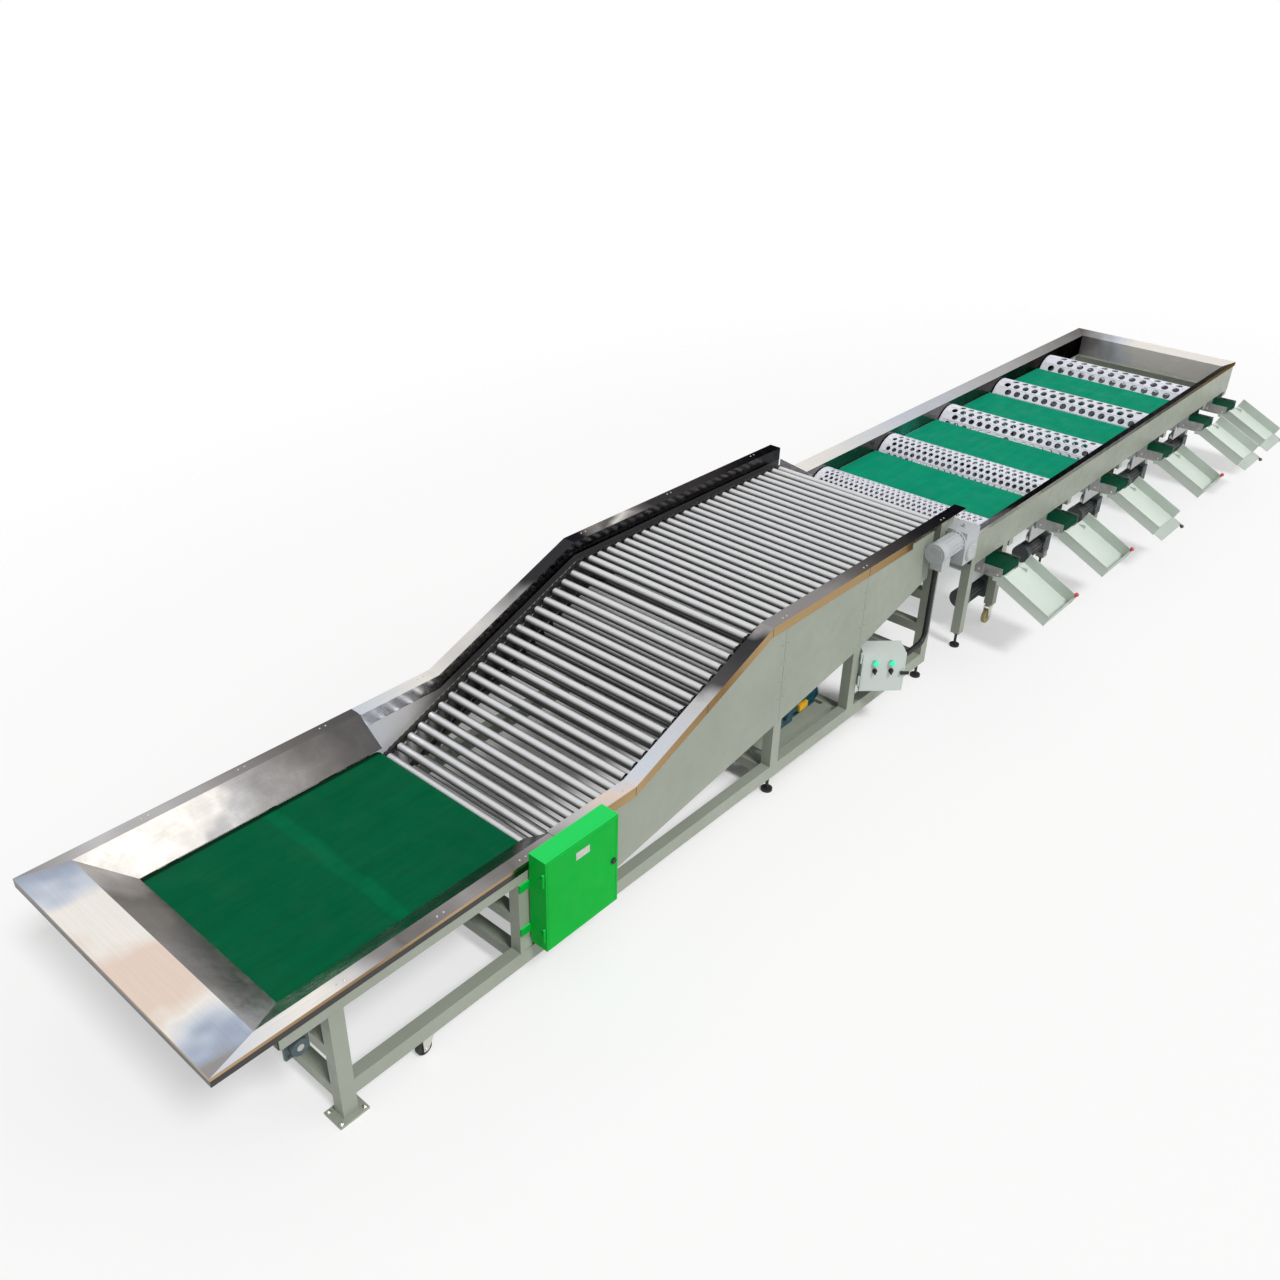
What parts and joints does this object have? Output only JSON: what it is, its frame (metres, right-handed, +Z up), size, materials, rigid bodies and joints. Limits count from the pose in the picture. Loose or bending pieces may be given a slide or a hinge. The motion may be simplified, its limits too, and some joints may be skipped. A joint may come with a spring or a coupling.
{
  "type": "fruit grading machine",
  "caption": "Long fruit grading line with flared infeed hopper and belt, inclined roller conveyor, perforated sizing drums between transfer belts, and side outlet chutes with hinged gates.",
  "frame": {"origin": "middle of the machine's overall outline, on the floor", "axes": "+X along the fruit flow from hopper to last outlet, +Y to the side away from the outlet chutes, +Z up"},
  "size_m": [10.2, 2.0544, 1.1],
  "materials": {
    "frame_paint": "satin",
    "panel_paint": "satin",
    "stainless": "polished",
    "plain_steel": "satin",
    "bearing_paint": "painted",
    "infeed_belt": "matt",
    "transfer_belt": "matt",
    "outlet_belt": "matt",
    "roller_metal": "satin",
    "chain_steel": "oiled",
    "motor_light": "satin",
    "motor_teal": "gloss",
    "motor_dark": "satin",
    "hose_black": "matt",
    "cabinet_green": "gloss",
    "box_paint": "satin",
    "black_plastic": "satin",
    "button_green": "gloss",
    "foot_black": "matt",
    "zinc": "plated",
    "wheel_black": "matt",
    "wheel_yellow": "matt",
    "drum_white": "satin",
    "chute_paint": "satin",
    "gate_red": "satin",
    "gate_dark": "satin"
  },
  "bodies": {
    "line_frame": {"feed_frame": "frame_paint", "hopper_front": "stainless", "hopper_sides": "stainless", "infeed_bed": "plain_steel", "infeed_belt": "infeed_belt", "bearings": "bearing_paint", "elevator_rails": "stainless", "elevator_plates": "frame_paint", "elevator_panels": "panel_paint", "rollers": "roller_metal", "chains": "chain_steel", "elevator_gearmotor": "motor_light", "conduit": "hose_black", "cabinet_body": "cabinet_green", "control_box": "box_paint", "under_motor": "motor_teal", "feet": "foot_black", "grader_frame": "frame_paint", "grader_rails": "stainless", "grader_end_wall": "stainless", "grader_panels": "panel_paint", "drum_bearers": "plain_steel", "transfer_belts": "transfer_belt", "cross_belts": "outlet_belt", "cross_plates": "plain_steel", "station_motors": "motor_dark", "chutes": "chute_paint", "discharge_slide": "stainless", "belt_rollers": "plain_steel"},
    "head_shaft": {"head_shaft": "plain_steel"},
    "tail_shaft": {"tail_shaft": "plain_steel"},
    "infeed_head_roller": {"infeed_head_roller": "plain_steel"},
    "infeed_tail_roller": {"infeed_tail_roller": "plain_steel"},
    "drum_1": {"drum_1": "drum_white"},
    "drum_2": {"drum_2": "drum_white"},
    "drum_3": {"drum_3": "drum_white"},
    "drum_4": {"drum_4": "drum_white"},
    "drum_5": {"drum_5": "drum_white"},
    "cabinet_door": {"cabinet_door": "cabinet_green"},
    "cabinet_lock": {"cabinet_lock": "black_plastic"},
    "control_door": {"control_door": "box_paint"},
    "control_latch": {"control_latch": "black_plastic"},
    "button_a": {"button_a": "button_green"},
    "button_b": {"button_b": "button_green"},
    "selector_a": {"selector_a": "black_plastic"},
    "selector_b": {"selector_b": "black_plastic"},
    "feed_fork_near": {"feed_fork_near": "zinc"},
    "feed_wheel_near": {"feed_wheel_near": "wheel_black"},
    "feed_fork_far": {"feed_fork_far": "zinc"},
    "feed_wheel_far": {"feed_wheel_far": "wheel_black"},
    "table_fork_near": {"table_fork_near": "zinc"},
    "table_wheel_near": {"table_wheel_near": "wheel_yellow"},
    "table_fork_far": {"table_fork_far": "zinc"},
    "table_wheel_far": {"table_wheel_far": "wheel_yellow"},
    "gate_1": {"gate_1": "gate_red"},
    "gate_2": {"gate_2": "gate_red"},
    "gate_3": {"gate_3": "gate_dark"},
    "gate_4": {"gate_4": "gate_red"},
    "gate_5": {"gate_5": "gate_dark"},
    "gate_6": {"gate_6": "gate_dark"}
  },
  "joints": [
    {"name": "head_shaft_spin", "type": "hinge", "parent": "line_frame", "child": "head_shaft", "pos_m": [-0.055, 0.28217, 0.89935], "axis": [0, 1, 0], "continuous": true},
    {"name": "tail_shaft_spin", "type": "hinge", "parent": "line_frame", "child": "tail_shaft", "pos_m": [-3.32268, 0.28217, 0.31094], "axis": [0, 1, 0], "continuous": true},
    {"name": "infeed_head_spin", "type": "hinge", "parent": "line_frame", "child": "infeed_head_roller", "pos_m": [-3.47, 0.28217, 0.51], "axis": [0, 1, 0], "continuous": true},
    {"name": "infeed_tail_spin", "type": "hinge", "parent": "line_frame", "child": "infeed_tail_roller", "pos_m": [-4.74, 0.28217, 0.51], "axis": [0, 1, 0], "continuous": true},
    {"name": "drum_1_spin", "type": "hinge", "parent": "line_frame", "child": "drum_1", "pos_m": [0.63, 0.28217, 0.6], "axis": [0, 1, 0], "continuous": true},
    {"name": "drum_2_spin", "type": "hinge", "parent": "line_frame", "child": "drum_2", "pos_m": [1.545, 0.28217, 0.6], "axis": [0, 1, 0], "continuous": true},
    {"name": "drum_3_spin", "type": "hinge", "parent": "line_frame", "child": "drum_3", "pos_m": [2.46, 0.28217, 0.6], "axis": [0, 1, 0], "continuous": true},
    {"name": "drum_4_spin", "type": "hinge", "parent": "line_frame", "child": "drum_4", "pos_m": [3.375, 0.28217, 0.6], "axis": [0, 1, 0], "continuous": true},
    {"name": "drum_5_spin", "type": "hinge", "parent": "line_frame", "child": "drum_5", "pos_m": [4.29, 0.28217, 0.6], "axis": [0, 1, 0], "continuous": true},
    {"name": "cabinet_door_hinge", "type": "hinge", "parent": "line_frame", "child": "cabinet_door", "pos_m": [-3.6125, -0.54013, 0.482], "axis": [0, 0, -1], "range_deg": [0, 110]},
    {"name": "cabinet_lock_turn", "type": "hinge", "parent": "cabinet_door", "child": "cabinet_lock", "pos_m": [-3.185, -0.53983, 0.482], "axis": [0, 1, 0], "range_deg": [0, 90]},
    {"name": "control_door_hinge", "type": "hinge", "parent": "line_frame", "child": "control_door", "pos_m": [-0.98617, -0.45339, 0.42], "axis": [0, 0, -1], "range_deg": [0, 105]},
    {"name": "control_latch_turn", "type": "hinge", "parent": "control_door", "child": "control_latch", "pos_m": [-0.81661, -0.62253, 0.42], "axis": [0.7071, 0.7071, 0], "range_deg": [0, 90]},
    {"name": "button_a_press", "type": "slide", "parent": "control_door", "child": "button_a", "axis": [0.7071, 0.7071, 0], "range_m": [0, 0.004], "stiffness_N_per_m": 400},
    {"name": "button_b_press", "type": "slide", "parent": "control_door", "child": "button_b", "axis": [0.7071, 0.7071, 0], "range_m": [0, 0.004], "stiffness_N_per_m": 400},
    {"name": "selector_a_turn", "type": "hinge", "parent": "control_door", "child": "selector_a", "pos_m": [-0.92762, -0.51152, 0.4325], "axis": [0.7071, 0.7071, 0], "range_deg": [-45, 45]},
    {"name": "selector_b_turn", "type": "hinge", "parent": "control_door", "child": "selector_b", "pos_m": [-0.86045, -0.57869, 0.4325], "axis": [0.7071, 0.7071, 0], "range_deg": [-45, 45]},
    {"name": "feed_fork_near_swivel", "type": "hinge", "parent": "line_frame", "child": "feed_fork_near", "pos_m": [-4.174, -0.40783, 0.085], "axis": [0, 0, 1], "continuous": true},
    {"name": "feed_wheel_near_roll", "type": "hinge", "parent": "feed_fork_near", "child": "feed_wheel_near", "pos_m": [-4.198, -0.40783, 0.0375], "axis": [0, 1, 0], "continuous": true},
    {"name": "feed_fork_far_swivel", "type": "hinge", "parent": "line_frame", "child": "feed_fork_far", "pos_m": [-4.174, 0.97217, 0.085], "axis": [0, 0, 1], "continuous": true},
    {"name": "feed_wheel_far_roll", "type": "hinge", "parent": "feed_fork_far", "child": "feed_wheel_far", "pos_m": [-4.198, 0.97217, 0.0375], "axis": [0, 1, 0], "continuous": true},
    {"name": "table_fork_near_swivel", "type": "hinge", "parent": "line_frame", "child": "table_fork_near", "pos_m": [0.79, -0.40783, 0.11], "axis": [0, 0, 1], "continuous": true},
    {"name": "table_wheel_near_roll", "type": "hinge", "parent": "table_fork_near", "child": "table_wheel_near", "pos_m": [0.766, -0.40783, 0.05], "axis": [0, 1, 0], "continuous": true},
    {"name": "table_fork_far_swivel", "type": "hinge", "parent": "line_frame", "child": "table_fork_far", "pos_m": [0.79, 0.97217, 0.11], "axis": [0, 0, 1], "continuous": true},
    {"name": "table_wheel_far_roll", "type": "hinge", "parent": "table_fork_far", "child": "table_wheel_far", "pos_m": [0.766, 0.97217, 0.05], "axis": [0, 1, 0], "continuous": true},
    {"name": "gate_1_hinge", "type": "hinge", "parent": "line_frame", "child": "gate_1", "pos_m": [0.63, -0.92868, 0.32811], "axis": [1, 0, 0], "range_deg": [0, 90]},
    {"name": "gate_2_hinge", "type": "hinge", "parent": "line_frame", "child": "gate_2", "pos_m": [1.545, -0.92868, 0.32811], "axis": [1, 0, 0], "range_deg": [0, 90]},
    {"name": "gate_3_hinge", "type": "hinge", "parent": "line_frame", "child": "gate_3", "pos_m": [2.46, -0.92868, 0.32811], "axis": [-1, 0, 0], "range_deg": [0, 90]},
    {"name": "gate_4_hinge", "type": "hinge", "parent": "line_frame", "child": "gate_4", "pos_m": [3.375, -0.92868, 0.32811], "axis": [1, 0, 0], "range_deg": [0, 90]},
    {"name": "gate_5_hinge", "type": "hinge", "parent": "line_frame", "child": "gate_5", "pos_m": [4.29, -0.92868, 0.32811], "axis": [-1, 0, 0], "range_deg": [0, 90]},
    {"name": "gate_6_hinge", "type": "hinge", "parent": "line_frame", "child": "gate_6", "pos_m": [4.87, -0.92868, 0.32811], "axis": [-1, 0, 0], "range_deg": [0, 90]}
  ],
  "couplings": [
    {"joint": "tail_shaft_spin", "follows": "head_shaft_spin", "ratio": 1},
    {"joint": "infeed_head_spin", "follows": "head_shaft_spin", "ratio": 1},
    {"joint": "infeed_tail_spin", "follows": "head_shaft_spin", "ratio": 1},
    {"joint": "drum_2_spin", "follows": "drum_1_spin", "ratio": 1},
    {"joint": "drum_3_spin", "follows": "drum_1_spin", "ratio": 1},
    {"joint": "drum_4_spin", "follows": "drum_1_spin", "ratio": 1},
    {"joint": "drum_5_spin", "follows": "drum_1_spin", "ratio": 1}
  ]
}
